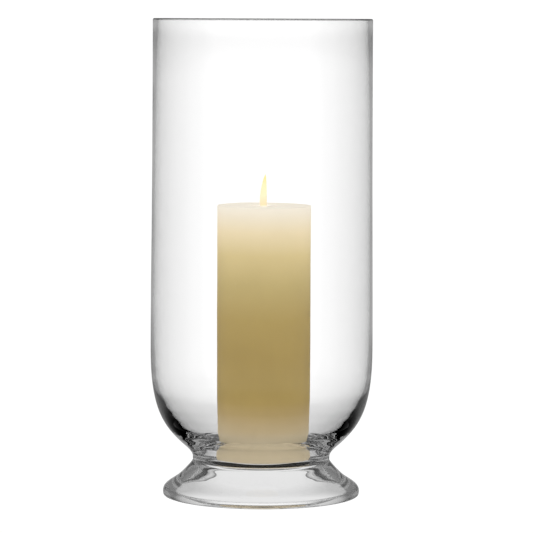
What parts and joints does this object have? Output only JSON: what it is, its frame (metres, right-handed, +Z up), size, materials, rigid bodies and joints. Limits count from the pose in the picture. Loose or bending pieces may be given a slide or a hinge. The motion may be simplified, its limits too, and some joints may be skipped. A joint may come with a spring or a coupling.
{
  "type": "hurricane candle lantern",
  "caption": "Clear glass hurricane lantern: open-topped cylinder with a rounded bowl on a flared hollow foot, holding a tall ivory pillar candle that lifts out.",
  "frame": {"origin": "centre of the foot's underside, on the plane the lantern stands on", "axes": "+Z up along the glass's axis of revolution, towards the open rim; +X to the right and -Y towards the viewer"},
  "size_m": [0.1778, 0.1778, 0.381],
  "materials": {
    "clear_glass": "clear, smooth, fire-polished",
    "ivory_wax": "satin, faintly translucent",
    "braided_cotton": "matt braid, charred at the tip",
    "tinned_steel": "satin"
  },
  "bodies": {
    "glass": {"glass_bowl": "clear_glass", "glass_foot": "clear_glass"},
    "candle": {"candle_wax": "ivory_wax", "wick": "braided_cotton", "wick_sustainer": "tinned_steel"}
  },
  "joints": [
    {"name": "candle_lift", "type": "slide", "parent": "glass", "child": "candle", "axis": [0, 0, 1], "range_m": [0, 0.365]}
  ]
}
